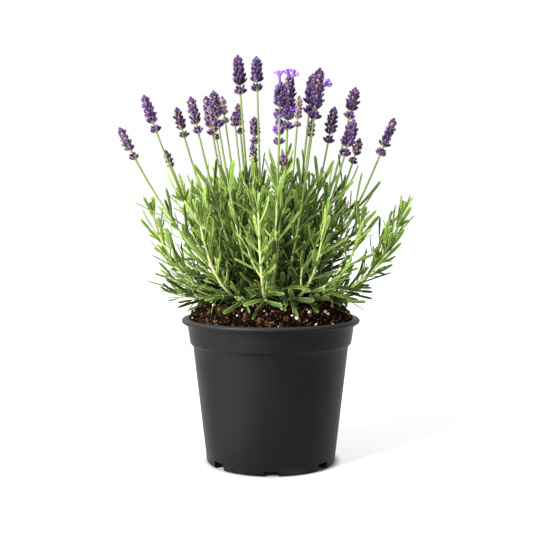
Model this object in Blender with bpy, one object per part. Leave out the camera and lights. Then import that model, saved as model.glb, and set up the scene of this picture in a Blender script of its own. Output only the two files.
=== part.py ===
"""Potted lavender: a nursery pot, its soil and one flowering plant.

Metres, +Z up, origin on the floor under the middle of the pot. The plant is a woody
crown, flowering shoots that each end in a flower head, and leafy shoots between them.
"""

import math
import random

import bmesh
import bpy
import numpy as np
from mathutils import Matrix, Vector

# The pot: a two-litre nursery pot with a rolled rim and a collar under it.
POT_HEIGHT = 0.1384
RIM_RADIUS = 0.0850
RIM_ROLL = 0.0026
COLLAR_TOP_RADIUS = 0.0797
COLLAR_FOOT_RADIUS = 0.0771
COLLAR_HEIGHT = 0.0235
STEP_HEIGHT = 0.0026
WALL_TOP_RADIUS = 0.0743
BASE_RADIUS = 0.0619
WALL = 0.0018
FOOT_RING_INNER = 0.0548
BASE_RECESS = 0.0015
FLOOR_TOP = 0.0035
EDGE_ROUND = 0.0030
POT_SEGMENTS = 48

# Drain notches through the foot of the wall, the first one at the front.
NOTCH_COUNT = 7
NOTCH_WIDTH = 0.0145
NOTCH_HEIGHT = 0.0050
NOTCH_DEPTH = 0.0180

# The soil: it fills the pot to just under the rim and is heaped in the middle.
GAP = 0.0003
SOIL_EDGE_DROP = 0.0025
SOIL_HEAP = 0.0195
HEAP_POWER = 9
SOCKET_RADIUS = 0.0092
SOCKET_DEPTH = 0.0300
SOIL_SEGMENTS = 40

# The plant. A shoot leaves the soil on a ring round the crown and curves up to its tip.
CROWN_RING = 0.0110
FOOT_LIFT = 0.0016
# The line of each kind of shoot: how far out its foot stands for its reach, and how far
# out and how far up its middle is pulled. Leafy shoots start outside and stay lower.
FLOWERING_LINE = (0.13, 0.64, 0.32)
LEAFY_LINE = (0.27, 0.85, 0.12)
STEM_FOOT_WIDTH = 0.0022
STEM_TOP_WIDTH = 0.0015
NODE_LENGTH = 0.0018

LEAF_WIDTH = 0.0040
LEAF_THICKNESS = 0.0010
LEAF_LENGTH = 0.030
LEAF_ANGLE = math.radians(42)
LEAF_STEPS = 4
LEAF_CURL = 0.13
LEAF_CLEARANCE = 0.0020
LOWEST_LEAF = 0.012
HIGHEST_LEAF = 0.245
PAIRS_ON_FLOWERING = 4
PAIRS_ON_LEAFY = 6

HEAD_RADIUS = 0.0078
HEAD_SIDES = 6
# How a flower head swells from its foot to its tip: (part of the length, part of the radius).
HEAD_PROFILE = (
    (0.00, 0.16),
    (0.08, 0.80),
    (0.16, 0.74),
    (0.23, 0.34),
    (0.31, 0.92),
    (0.60, 1.00),
    (0.86, 0.66),
)

# The tip of each flowering shoot and the length of its flower head, in millimetres.
FLOWERING_TIPS = (
    (-136, -50, 315, 32),
    (-122, 12, 351, 38),
    (-106, 55, 301, 19),
    (-93, 38, 342, 32),
    (-74, -28, 345, 35),
    (-66, 72, 357, 42),
    (-52, -48, 348, 34),
    (-50, 84, 358, 29),
    (-33, 58, 348, 32),
    (-31, -14, 385, 37),
    (-14, 20, 389, 34),
    (-17, 92, 338, 30),
    (8, -82, 352, 32),
    (17, -44, 363, 50),
    (8, -18, 327, 26),
    (30, 86, 359, 34),
    (39, -20, 367, 38),
    (43, -62, 366, 46),
    (42, 62, 332, 18),
    (60, -6, 338, 35),
    (84, 40, 362, 33),
    (75, -42, 323, 35),
    (86, 14, 310, 26),
    (117, 0, 328, 38),
)
# The apex of each leafy shoot, which bears no flower, in millimetres.
LEAFY_TIPS = (
    (-111, -10, 238),
    (124, -5, 238),
    (-63, -76, 236),
    (-11, -100, 244),
    (46, -90, 232),
    (80, -66, 230),
    (-70, 88, 238),
    (8, 104, 242),
    (78, 84, 236),
)

SEED = 11
MM = 0.001


def clear_scene():
    for item in list(bpy.data.objects):
        bpy.data.objects.remove(item, do_unlink=True)


def material(name, colour, roughness):
    made = bpy.data.materials.new(name)
    made.use_nodes = True
    shader = made.node_tree.nodes["Principled BSDF"]
    shader.inputs["Base Color"].default_value = (*colour, 1.0)
    shader.inputs["Roughness"].default_value = roughness
    shader.inputs["Metallic"].default_value = 0.0
    return made


def add_object(name, bm, finish, smooth=False):
    open_edges = [edge for edge in bm.edges if edge.is_boundary]
    bmesh.ops.holes_fill(bm, edges=open_edges, sides=0)
    bmesh.ops.recalc_face_normals(bm, faces=bm.faces[:])
    mesh = bpy.data.meshes.new(name)
    bm.to_mesh(mesh)
    bm.free()
    if smooth:
        mesh.shade_smooth()
        mesh.set_sharp_from_angle(angle=math.radians(35))
    if finish:
        mesh.materials.append(finish)
    made = bpy.data.objects.new(name, mesh)
    bpy.context.scene.collection.objects.link(made)
    return made


def turned(profile, segments):
    """Turns an outline of (radius, height) points about Z. Its ends lie on the axis."""
    bm = bmesh.new()
    verts = [bm.verts.new((radius, 0, height)) for radius, height in profile]
    edges = [bm.edges.new(pair) for pair in zip(verts, verts[1:])]
    bmesh.ops.spin(
        bm,
        geom=verts + edges,
        axis=(0, 0, 1),
        cent=(0, 0, 0),
        angle=math.tau,
        steps=segments,
        use_merge=True,
    )
    bmesh.ops.remove_doubles(bm, verts=bm.verts[:], dist=1e-6)
    return bm


def arc(centre, radius, start, end, steps):
    """Points of a round in the outline, from one angle to another in degrees."""
    angles = [math.radians(start + (end - start) * i / steps) for i in range(steps + 1)]
    return [
        (centre[0] + radius * math.cos(a), centre[1] + radius * math.sin(a)) for a in angles
    ]


# ---- pot ----


def pot_outer():
    """The outside of the pot, from the top of the rim down to the foot ring."""
    rim_centre = (RIM_RADIUS - RIM_ROLL, POT_HEIGHT - RIM_ROLL)
    under_lip = POT_HEIGHT - 2 * RIM_ROLL
    collar_foot = POT_HEIGHT - COLLAR_HEIGHT
    return [
        *arc(rim_centre, RIM_ROLL, 90, -90, 6),
        (COLLAR_TOP_RADIUS, under_lip - 0.0004),
        (COLLAR_FOOT_RADIUS, collar_foot),
        (COLLAR_FOOT_RADIUS - 0.0009, collar_foot - 0.0011),
        (WALL_TOP_RADIUS, collar_foot - STEP_HEIGHT),
        (BASE_RADIUS, EDGE_ROUND),
        (BASE_RADIUS - 0.3 * EDGE_ROUND, 0.3 * EDGE_ROUND),
        (BASE_RADIUS - EDGE_ROUND, 0.0),
    ]


def inner_radius(height):
    """The radius of the pot's inner wall at a height above its floor."""
    collar_foot = POT_HEIGHT - COLLAR_HEIGHT
    wall_top = collar_foot - STEP_HEIGHT
    if height >= collar_foot:
        part = (height - collar_foot) / COLLAR_HEIGHT
        outer = COLLAR_FOOT_RADIUS + (COLLAR_TOP_RADIUS - COLLAR_FOOT_RADIUS) * part
    elif height >= wall_top:
        part = (height - wall_top) / STEP_HEIGHT
        outer = WALL_TOP_RADIUS + (COLLAR_FOOT_RADIUS - WALL_TOP_RADIUS) * part
    else:
        part = height / wall_top
        outer = BASE_RADIUS + (WALL_TOP_RADIUS - BASE_RADIUS) * part
    return outer - WALL


def inner_wall(top, bottom, offset=0.0):
    """The pot's inner outline from one height down to another, set in by an offset."""
    collar_foot = POT_HEIGHT - COLLAR_HEIGHT
    heights = [top, collar_foot, collar_foot - STEP_HEIGHT, bottom]
    return [(inner_radius(height) - offset, height) for height in heights]


def build_pot(plastic):
    floor_edge = inner_radius(FLOOR_TOP) - EDGE_ROUND
    profile = [
        (0.0, BASE_RECESS),
        (FOOT_RING_INNER - BASE_RECESS, BASE_RECESS),
        (FOOT_RING_INNER, 0.0),
        *reversed(pot_outer()),
        *inner_wall(POT_HEIGHT - 0.001, FLOOR_TOP + EDGE_ROUND),
        (floor_edge, FLOOR_TOP),
        (0.0, FLOOR_TOP),
    ]
    pot = add_object("pot", turned(profile, POT_SEGMENTS), plastic, smooth=True)

    bm = bmesh.new()
    for i in range(NOTCH_COUNT):
        angle = -math.pi / 2 + math.tau * i / NOTCH_COUNT
        block = bmesh.ops.create_cube(bm, size=1.0)["verts"]
        bmesh.ops.scale(
            bm, vec=(NOTCH_DEPTH, NOTCH_WIDTH, 2 * NOTCH_HEIGHT), verts=block
        )
        bmesh.ops.translate(bm, vec=(BASE_RADIUS, 0, 0), verts=block)
        turn = Matrix.Rotation(angle, 3, "Z")
        bmesh.ops.rotate(bm, cent=(0, 0, 0), matrix=turn, verts=block)
    cutter = add_object("drain_notch_cutter", bm, None)
    cutter.hide_render = True
    cutter.display_type = "WIRE"
    notches = pot.modifiers.new("drain_notches", "BOOLEAN")
    notches.operation = "DIFFERENCE"
    notches.solver = "EXACT"
    notches.object = cutter
    return pot


# ---- soil and crown ----


def soil_height(radius):
    """The height of the heaped soil at a distance from the middle."""
    edge = inner_radius(POT_HEIGHT) - GAP
    part = min(radius / edge, 1.0)
    return POT_HEIGHT - SOIL_EDGE_DROP + SOIL_HEAP * (1 - part**HEAP_POWER)


def build_soil(finish):
    edge_height = POT_HEIGHT - SOIL_EDGE_DROP
    edge_radius = inner_radius(edge_height) - GAP
    floor = FLOOR_TOP + GAP
    floor_edge = inner_radius(FLOOR_TOP) - EDGE_ROUND - GAP
    rings = [edge_radius * part for part in (0.985, 0.95, 0.90, 0.83, 0.72, 0.50, 0.28)]
    profile = [
        (0.0, floor),
        (floor_edge, floor),
        *reversed(inner_wall(edge_height, FLOOR_TOP + EDGE_ROUND + GAP, GAP)),
        *[(ring, soil_height(ring)) for ring in rings],
        (SOCKET_RADIUS, soil_height(SOCKET_RADIUS)),
        (SOCKET_RADIUS * 0.8, soil_height(0) - SOCKET_DEPTH),
        (0.0, soil_height(0) - SOCKET_DEPTH),
    ]
    return add_object("potting_soil", turned(profile, SOIL_SEGMENTS), finish, smooth=True)


def build_crown(finish):
    """The woody foot of the plant: a stump in the soil with four cut-back stubs on top."""
    top = soil_height(0)
    foot_radius = SOCKET_RADIUS * 0.8 - 2 * GAP
    rings = (
        (foot_radius * 0.7, top - SOCKET_DEPTH + GAP),
        (foot_radius, top - 0.6 * SOCKET_DEPTH),
        (SOCKET_RADIUS * 0.8, top - 0.3 * SOCKET_DEPTH),
        (SOCKET_RADIUS - 2 * GAP, top + 0.002),
        (SOCKET_RADIUS - 3 * GAP, top + 0.006),
    )
    bm = bmesh.new()
    start = bmesh.ops.create_circle(bm, cap_ends=True, radius=rings[0][0], segments=8)
    bmesh.ops.translate(bm, vec=(0, 0, rings[0][1]), verts=start["verts"])
    cap = start["verts"][0].link_faces[0]
    for radius, height in rings[1:]:
        cap = extruded(bm, cap)
        for vert in cap.verts:
            flat = Vector((vert.co.x, vert.co.y, 0)).normalized() * radius
            vert.co = (flat.x, flat.y, height)
    sides = [
        next(face for face in edge.link_faces if face is not cap) for edge in cap.edges
    ]
    for side in sides[::2]:
        out = side.calc_center_median()
        out.z = 0
        stub = extruded(bm, side)
        bmesh.ops.translate(
            bm, vec=out.normalized() * 0.0022 + Vector((0, 0, 0.0045)), verts=stub.verts[:]
        )
        to_middle = Matrix.Translation(-stub.calc_center_median())
        bmesh.ops.scale(bm, vec=(0.7, 0.7, 0.7), space=to_middle, verts=stub.verts[:])
    return add_object("crown", bm, finish)


def extruded(bm, face):
    """Draws one face out of a solid, and returns the new face where it still lies."""
    return bmesh.ops.extrude_discrete_faces(bm, faces=[face])["faces"][0]


# ---- shoots ----


class StemCurve:
    """A shoot's line from the soil to its tip, which follows from the tip alone."""

    SAMPLES = 80

    def __init__(self, tip, line):
        foot_spread, pull_out, pull_up = line
        self.tip = Vector(tip)
        out = Vector((self.tip.x, self.tip.y, 0))
        reach = out.length
        out.normalize()
        foot = out * (CROWN_RING + foot_spread * reach)
        foot.z = soil_height(foot.length) + FOOT_LIFT
        middle = out * reach * pull_out
        middle.z = foot.z + pull_up * (self.tip.z - foot.z)
        ts = np.linspace(0, 1, self.SAMPLES + 1)[:, None]
        self.points = (
            (1 - ts) ** 2 * np.array(foot)
            + 2 * ts * (1 - ts) * np.array(middle)
            + ts**2 * np.array(self.tip)
        )
        steps = np.linalg.norm(np.diff(self.points, axis=0), axis=1)
        self.lengths = np.concatenate([[0], np.cumsum(steps)])
        self.length = float(self.lengths[-1])

    def point(self, along):
        return Vector([np.interp(along, self.lengths, axis) for axis in self.points.T])

    def direction(self, along):
        step = 0.004
        start = max(along - step, 0.0)
        end = min(along + step, self.length)
        return (self.point(end) - self.point(start)).normalized()

    def at_height(self, height):
        return float(np.interp(height, self.points[:, 2], self.lengths))


class Occupied:
    """The space already taken, as round-ended rods. It tells whether a new leaf is clear."""

    def __init__(self):
        self.starts = np.empty((0, 3))
        self.ends = np.empty((0, 3))
        self.radii = np.empty(0)
        self.owners = np.empty(0, int)

    def add(self, points, radius, owner):
        points = np.array(points)
        count = len(points) - 1
        self.starts = np.vstack([self.starts, points[:-1]])
        self.ends = np.vstack([self.ends, points[1:]])
        self.radii = np.append(self.radii, np.full(count, radius))
        self.owners = np.append(self.owners, np.full(count, owner))

    def room(self, point, skip=-1):
        """The distance from a point to the nearest rod that has another owner."""
        others = self.owners != skip
        starts = self.starts[others]
        lines = self.ends[others] - starts
        offset = np.array(point) - starts
        part = (offset * lines).sum(axis=1) / (lines * lines).sum(axis=1)
        nearest = starts + np.clip(part, 0, 1)[:, None] * lines
        gaps = np.linalg.norm(np.array(point) - nearest, axis=1) - self.radii[others]
        return gaps.min()


def leaf_spine(base, outward, upward, length):
    """A leaf's middle line: it leaves the stem at an angle and bends up towards its tip."""
    points = [base]
    for step in range(LEAF_STEPS):
        angle = LEAF_ANGLE * (1 - LEAF_CURL * step)
        aim = outward * math.sin(angle) + upward * math.cos(angle)
        points.append(points[-1] + aim * (length / LEAF_STEPS))
    return points


def above_pot(points):
    """Whether a leaf stays over the soil and the rim."""
    for point in points:
        radius = math.hypot(point.x, point.y)
        over_rim = radius > RIM_RADIUS - 2 * RIM_ROLL
        ground = POT_HEIGHT if over_rim else max(soil_height(radius), POT_HEIGHT)
        if point.z < ground + LEAF_CLEARANCE:
            return False
    return True


def shape_ring(face, centre, across, normal, width, thickness):
    """Sets a leaf's four-cornered ring. Its corners keep their places round the leaf."""
    middle = face.calc_center_median()
    for vert in face.verts:
        offset = vert.co - middle
        side = math.copysign(0.5 * width, offset.dot(across))
        level = math.copysign(0.5 * thickness, offset.dot(normal))
        vert.co = centre + across * side + normal * level


def grow_leaf(bm, face, spine, across):
    """Draws a side face of the stem out into a flat blade with a narrow, blunt tip."""
    rings = ((LEAF_STEPS // 2, 1.0, 1.0), (LEAF_STEPS, 0.30, 0.5))
    for index, width, thickness in rings:
        aim = (spine[index] - spine[index - 1]).normalized()
        normal = aim.cross(across).normalized()
        face = extruded(bm, face)
        shape_ring(
            face,
            spine[index],
            across,
            normal,
            LEAF_WIDTH * width,
            LEAF_THICKNESS * thickness,
        )


def stem_width(along, length):
    return STEM_FOOT_WIDTH + (STEM_TOP_WIDTH - STEM_FOOT_WIDTH) * along / length


def stem_stations(nodes, end):
    """Where the stem's rings are: one at each end, and two at each pair of leaves."""
    stations = [0.0]
    for node in nodes:
        stations += [node - 0.5 * NODE_LENGTH, node + 0.5 * NODE_LENGTH]
    if end - stations[-1] > 0.03:
        stations.append(0.5 * (stations[-1] + end))
    stations.append(end)
    return stations


def grow_stem(curve, nodes, end, roll):
    """A square stem with a pair of side faces at each node, ready for two leaves."""
    bm = bmesh.new()
    outward = Vector((curve.tip.x, curve.tip.y, 0)).normalized()
    sideways = Vector((-outward.y, outward.x, 0))
    stations = stem_stations(nodes, end)
    cap = None
    pairs = []
    for index, along in enumerate(stations):
        aim = curve.direction(along)
        first = sideways * math.cos(roll) + sideways.cross(aim) * math.sin(roll)
        first = (first - aim * first.dot(aim)).normalized()
        second = aim.cross(first)
        half = 0.5 * stem_width(along, curve.length)
        centre = curve.point(along)
        corners = [
            centre + first * half * a + second * half * b
            for a, b in ((1, 1), (-1, 1), (-1, -1), (1, -1))
        ]
        if cap is None:
            cap = bm.faces.new([bm.verts.new(corner) for corner in corners])
            continue
        cap = extruded(bm, cap)
        for vert, corner in zip(cap.verts, corners):
            vert.co = corner
        is_node = index % 2 == 0 and index // 2 <= len(nodes)
        if is_node:
            sides = [
                next(face for face in edge.link_faces if face is not cap)
                for edge in cap.edges
            ]
            offset = (index // 2) % 2
            pairs.append((along - 0.5 * NODE_LENGTH, sides[offset::2]))
    return bm, pairs


def leaf_places(curve, face, along, length):
    """The line of a leaf that would grow from a side face, and the way its blade lies."""
    base = face.calc_center_median()
    upward = curve.direction(along)
    outward = base - curve.point(along)
    outward = (outward - upward * outward.dot(upward)).normalized()
    return leaf_spine(base, outward, upward, length), upward.cross(outward).normalized()


def build_shoot(name, curve, nodes, end, finish, taken, owner, rng):
    bm, pairs = grow_stem(curve, nodes, end, rng.uniform(0, math.pi / 2))
    grown = []
    for along, faces in pairs:
        for face in faces:
            wanted = LEAF_LENGTH * rng.uniform(0.85, 1.12)
            for shrink in (1.0, 0.85, 0.7, 0.55, 0.4):
                spine, across = leaf_places(curve, face, along, wanted * shrink)
                probes = [
                    spine[i].lerp(spine[i + 1], part)
                    for i in range(LEAF_STEPS)
                    for part in (0.33, 0.67, 1.0)
                ]
                if is_clear(probes, taken, owner, grown, along):
                    grow_leaf(bm, face, spine, across)
                    grown.append((along, spine))
                    taken.add(spine, 0.5 * LEAF_WIDTH, owner)
                    break
    add_object(name, bm, finish)
    return len(grown)


def is_clear(probes, taken, owner, grown, along):
    """Whether a new leaf stays off the pot, the other shoots and its own shoot's leaves."""
    reach = 0.5 * LEAF_WIDTH + GAP
    past_stem = probes[4:]
    return (
        above_pot(probes)
        and all(taken.room(point, owner) > reach for point in probes)
        and all(own_room(grown, point, along) > reach for point in past_stem)
    )


def own_room(grown, point, along):
    """The distance from a point to the leaves of the same shoot's other nodes."""
    gaps = [1.0]
    for other, spine in grown:
        if other == along:
            continue
        gaps += [(point - p).length - 0.5 * LEAF_WIDTH for p in spine[1:]]
    return min(gaps)


def build_head(name, curve, start, finish):
    """A flower head: a spindle with a waist above its lowest whorl, ending in a point."""
    bm = bmesh.new()
    length = curve.length - start
    cap = None
    for part, swell in HEAD_PROFILE:
        along = start + part * length
        aim = curve.direction(along)
        side = aim.orthogonal().normalized()
        other = aim.cross(side)
        radius = HEAD_RADIUS * swell
        centre = curve.point(along)
        corners = [
            centre
            + side * radius * math.cos(math.tau * i / HEAD_SIDES)
            + other * radius * math.sin(math.tau * i / HEAD_SIDES)
            for i in range(HEAD_SIDES)
        ]
        if cap is None:
            cap = bm.faces.new([bm.verts.new(corner) for corner in corners])
            continue
        cap = extruded(bm, cap)
        for vert, corner in zip(cap.verts, corners):
            vert.co = corner
    apex = bmesh.ops.poke(bm, faces=[cap])["verts"][0]
    apex.co = curve.tip
    add_object(name, bm, finish)


def main():
    clear_scene()
    plastic = material("pot_plastic", (0.028, 0.028, 0.030), 0.5)
    soil = material("potting_soil", (0.045, 0.024, 0.014), 0.95)
    wood = material("crown_wood", (0.25, 0.17, 0.10), 0.85)
    green = material("shoot_green", (0.16, 0.29, 0.07), 0.6)
    violet = material("flower_violet", (0.09, 0.035, 0.19), 0.7)

    build_pot(plastic)
    build_soil(soil)
    build_crown(wood)

    rng = random.Random(SEED)
    taken = Occupied()
    flowering = []
    leafy = []
    for index, (x, y, z, head) in enumerate(FLOWERING_TIPS):
        curve = StemCurve((x * MM, y * MM, z * MM), FLOWERING_LINE)
        flowering.append((curve, curve.length - head * MM))
        taken.add(curve.points, 0.75 * STEM_FOOT_WIDTH, index)
    for index, tip in enumerate(LEAFY_TIPS, len(FLOWERING_TIPS)):
        curve = StemCurve([value * MM for value in tip], LEAFY_LINE)
        leafy.append(curve)
        taken.add(curve.points, 0.75 * STEM_FOOT_WIDTH, index)

    leaves = 0
    for index, curve in enumerate(leafy, 1):
        nodes = np.linspace(LOWEST_LEAF, curve.length - 0.004, PAIRS_ON_LEAFY)
        owner = len(FLOWERING_TIPS) + index - 1
        name = f"leafy_shoot_{index:02d}"
        leaves += build_shoot(name, curve, nodes, curve.length, green, taken, owner, rng)
    for index, (curve, head_start) in enumerate(flowering, 1):
        highest = curve.at_height(HIGHEST_LEAF)
        nodes = np.linspace(LOWEST_LEAF, highest, PAIRS_ON_FLOWERING)
        end = head_start - GAP
        name = f"flowering_shoot_{index:02d}"
        leaves += build_shoot(name, curve, nodes, end, green, taken, index - 1, rng)
        build_head(f"flower_head_{index:02d}", curve, head_start, violet)
    print("leaves", leaves)


main()
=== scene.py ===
# %% [markdown]
# # A potted lavender
#
# The finished look of a flowering lavender in a nursery pot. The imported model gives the
# frame: where the pot stands, where the soil ends, and the tip of every shoot. This script
# grows the fine plant round that frame: real leaves on square stems, whorls of ribbed buds,
# loose soil with bark and perlite, and a moulded pot with a worn rim.

# %% Load the fixed frame
import math
import random

import bmesh
import bpy
import numpy as np
from mathutils import Matrix, Vector, noise


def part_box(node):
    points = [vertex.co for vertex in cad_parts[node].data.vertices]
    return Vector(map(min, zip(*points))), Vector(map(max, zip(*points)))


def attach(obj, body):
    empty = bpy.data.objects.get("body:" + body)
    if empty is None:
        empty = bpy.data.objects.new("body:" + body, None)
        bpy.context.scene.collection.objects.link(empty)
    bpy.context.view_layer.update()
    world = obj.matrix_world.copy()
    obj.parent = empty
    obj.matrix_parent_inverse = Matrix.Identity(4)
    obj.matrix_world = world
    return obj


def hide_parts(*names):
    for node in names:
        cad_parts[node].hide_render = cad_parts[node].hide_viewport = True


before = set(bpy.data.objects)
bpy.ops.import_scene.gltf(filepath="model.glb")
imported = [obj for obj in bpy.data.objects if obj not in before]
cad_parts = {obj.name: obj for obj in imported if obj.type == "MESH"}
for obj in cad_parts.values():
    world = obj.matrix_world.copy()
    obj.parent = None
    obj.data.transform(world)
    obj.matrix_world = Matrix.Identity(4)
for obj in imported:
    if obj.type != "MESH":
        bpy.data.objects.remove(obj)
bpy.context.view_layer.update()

SEED = 5
rng = random.Random(SEED)
noise.seed_set(SEED)     # vector noise would otherwise start from the clock
MM = 0.001

# %% [markdown]
# ## Camera
#
# A plant in a pot is best shown from a little above its rim, from about a metre away. A
# longer lens keeps the pot's sides nearly straight. The camera could be aimed with a
# constraint; a plain rotation is easier to read and to repeat.

# %% Camera
def link_object(name, data):
    """A new object that holds the data, linked into the scene."""
    made = bpy.data.objects.new(name, data)
    bpy.context.scene.collection.objects.link(made)
    return made


CAMERA_DISTANCE = 0.913
CAMERA_HEIGHT = 0.242
CAMERA_SIDE = -0.0041
CAMERA_DOWN = math.radians(3.456)
LENS = 64.7

camera_data = bpy.data.cameras.new("camera")
camera_data.lens = LENS
camera_data.sensor_width = 36.0
camera_data.clip_start = 0.01
camera = link_object("camera", camera_data)
camera.location = (CAMERA_SIDE, -CAMERA_DISTANCE, CAMERA_HEIGHT)
camera.rotation_euler = (math.radians(90) - CAMERA_DOWN, 0, 0)
bpy.context.scene.camera = camera
print("camera at", tuple(camera.location))

# %% [markdown]
# ## Shader maths as Python
#
# A node tree is easier to write when a socket behaves like a number. `Wire` wraps a socket,
# and `+ - *` on wires add Math nodes. Every other node comes from `Finish.node`, which
# takes the node's type, its settings and the values or wires of its sockets.

# %% Wires and finishes
class Wire:
    """One socket in a finish. Sums and products of wires add Math nodes."""

    def __init__(self, finish, socket):
        self.finish = finish
        self.socket = socket

    def maths(self, operation, *values):
        settings = {"operation": operation}
        return self.finish.node("ShaderNodeMath", settings, dict(enumerate(values)))

    def __add__(self, other):
        return self.maths("ADD", self, other)

    __radd__ = __add__

    def __sub__(self, other):
        return self.maths("SUBTRACT", self, other)

    def __rsub__(self, other):
        return self.maths("SUBTRACT", other, self)

    def __mul__(self, other):
        return self.maths("MULTIPLY", self, other)

    __rmul__ = __mul__

    def between(self, low, high):
        """0 at low, 1 at high, and smooth in between."""
        settings = {"interpolation_type": "SMOOTHSTEP"}
        values = {"Value": self, "From Min": low, "From Max": high}
        return self.finish.node("ShaderNodeMapRange", settings, values)


class NodeTree:
    """A node tree, with short ways to add nodes to it."""

    def __init__(self, tree):
        self.tree = tree

    def plug(self, node, socket, value):
        if isinstance(value, Wire):
            self.tree.links.new(value.socket, node.inputs[socket])
        else:
            node.inputs[socket].default_value = value

    def node(self, kind, settings=None, values=None, out=0):
        made = self.tree.nodes.new(kind)
        for name, setting in (settings or {}).items():
            if name == "stops":
                self.set_stops(made.color_ramp, setting)
            else:
                setattr(made, name, setting)
        for socket, value in (values or {}).items():
            self.plug(made, socket, value)
        if isinstance(out, tuple):
            return tuple(Wire(self, made.outputs[name]) for name in out)
        return Wire(self, made.outputs[out])

    def axes(self, place):
        """The X, Y and Z of a place, as three wires."""
        return self.node("ShaderNodeSeparateXYZ", {}, {0: place}, out=("X", "Y", "Z"))

    def set_stops(self, ramp, stops):
        while len(ramp.elements) < len(stops):
            ramp.elements.new(1.0)
        for element, (position, colour) in zip(ramp.elements, stops):
            element.position = position
            element.color = (*colour, 1.0)


class Finish(NodeTree):
    """A material with one Principled shader."""

    def __init__(self, name):
        self.material = bpy.data.materials.new(name)
        self.material.use_nodes = True
        super().__init__(self.material.node_tree)
        self.shader = self.tree.nodes["Principled BSDF"]

    def surface(self, **values):
        for name, value in values.items():
            self.plug(self.shader, name.replace("_", " "), value)

    def place(self):
        return self.node("ShaderNodeTexCoord", out="Object")

    def squeezed(self, place, upright):
        """A place with its height scaled down, which draws a noise out into upright streaks."""
        values = {"Vector": place, "Scale": (1, 1, upright)}
        return self.node("ShaderNodeMapping", {}, values)

    def noise(self, scale, detail=3.0, place=None, rough=0.5):
        values = {
            "Vector": place or self.place(),
            "Scale": scale,
            "Detail": detail,
            "Roughness": rough,
        }
        return self.node("ShaderNodeTexNoise", {}, values, out="Fac")

    def ramp(self, factor, stops):
        return self.node("ShaderNodeValToRGB", {"stops": stops}, {"Fac": factor}, out="Color")

    def mix(self, factor, first, second):
        first = first if isinstance(first, Wire) else (*first, 1.0)
        second = second if isinstance(second, Wire) else (*second, 1.0)
        settings = {"data_type": "RGBA", "blend_type": "MIX"}
        values = {0: factor, 6: first, 7: second}
        return self.node("ShaderNodeMix", settings, values, out=2)

    def bump(self, height, strength, distance):
        values = {"Height": height, "Strength": strength, "Distance": distance}
        return self.node("ShaderNodeBump", {}, values)


# %% [markdown]
# ## Finishing a piece
#
# Every piece is built in a bmesh and then becomes one object that sits at the origin. Faces
# are turned outwards, the piece gets its finishes and rides on the root body, and the plain
# frame nodes that it stands for are hidden.

# %% Turn a bmesh into a piece
def mesh_from(name, bm):
    """A mesh with the bmesh's shape. The bmesh is freed."""
    mesh = bpy.data.meshes.new(name)
    bm.to_mesh(mesh)
    bm.free()
    return mesh


def add_piece(name, bm, finishes, nodes=(), smooth_angle=40):
    bmesh.ops.recalc_face_normals(bm, faces=bm.faces[:])
    mesh = mesh_from(name, bm)
    for finish in finishes:
        mesh.materials.append(finish.material)
    mesh.shade_smooth()
    mesh.set_sharp_from_angle(angle=math.radians(smooth_angle))
    piece = link_object(name, mesh)
    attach(piece, "root")
    if nodes:
        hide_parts(*nodes)
    return piece


# %% [markdown]
# ## Pot
#
# A nursery pot is injection moulded: a thin tapered wall, a collar that stiffens the top, a
# rolled rim, and a floor raised on a foot ring with drain notches cut through the corner. A
# turned outline gives every one of those but the notches, so the outline is spun round Z,
# and the notches are cut with a Boolean whose blocks have rounded corners.

# %% Pot sizes
pot_low, pot_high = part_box("pot")
POT_HEIGHT = pot_high.z
RIM_RADIUS = (pot_high.x - pot_low.x) / 2
RIM_ROLL = 2.6 * MM
COLLAR_TOP_RADIUS = RIM_RADIUS - 5.3 * MM
COLLAR_FOOT_RADIUS = RIM_RADIUS - 7.9 * MM
COLLAR_HEIGHT = 23.5 * MM
STEP_HEIGHT = 2.6 * MM
WALL_TOP_RADIUS = RIM_RADIUS - 10.7 * MM
BASE_RADIUS = RIM_RADIUS - 23.1 * MM
WALL = 1.8 * MM
FOOT_RING_INNER = 54.8 * MM
BASE_RECESS = 1.5 * MM
FLOOR_TOP = 3.5 * MM
EDGE_ROUND = 3.0 * MM
NOTCH_COUNT = 7
NOTCH_SIZE = (18 * MM, 14 * MM)
FRONT_NOTCH_HEIGHT = 4.9 * MM
NOTCH_HEIGHT = 7.3 * MM
NOTCH_ROUND = 1.2 * MM
POT_SEGMENTS = 112
print("pot height", round(POT_HEIGHT, 4), "rim radius", round(RIM_RADIUS, 4))


# %% Turned outlines
def arc(centre, radius, start, end, steps):
    """Points of a round in an outline, from one angle to another in degrees."""
    angles = [math.radians(start + (end - start) * i / steps) for i in range(steps + 1)]
    return [
        (centre[0] + radius * math.cos(a), centre[1] + radius * math.sin(a)) for a in angles
    ]


def split_runs(outline, longest):
    """Adds points along the straight runs of an outline, so that no run is too long."""
    points = [outline[0]]
    for start, end in zip(outline, outline[1:]):
        parts = max(1, math.ceil(math.dist(start, end) / longest))
        for i in range(1, parts + 1):
            points.append(tuple(a + (b - a) * i / parts for a, b in zip(start, end)))
    return points


def turned(outline, segments):
    """Spins an outline of (radius, height) points round Z. Its ends lie on the axis."""
    bm = bmesh.new()
    verts = [bm.verts.new((radius, 0, height)) for radius, height in outline]
    edges = [bm.edges.new(pair) for pair in zip(verts, verts[1:])]
    bmesh.ops.spin(
        bm,
        geom=verts + edges,
        axis=(0, 0, 1),
        cent=(0, 0, 0),
        angle=math.tau,
        steps=segments,
        use_merge=True,
    )
    bmesh.ops.remove_doubles(bm, verts=bm.verts[:], dist=1e-6)
    return bm


# %% Pot outline
collar_foot = POT_HEIGHT - COLLAR_HEIGHT
wall_top = collar_foot - STEP_HEIGHT


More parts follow.
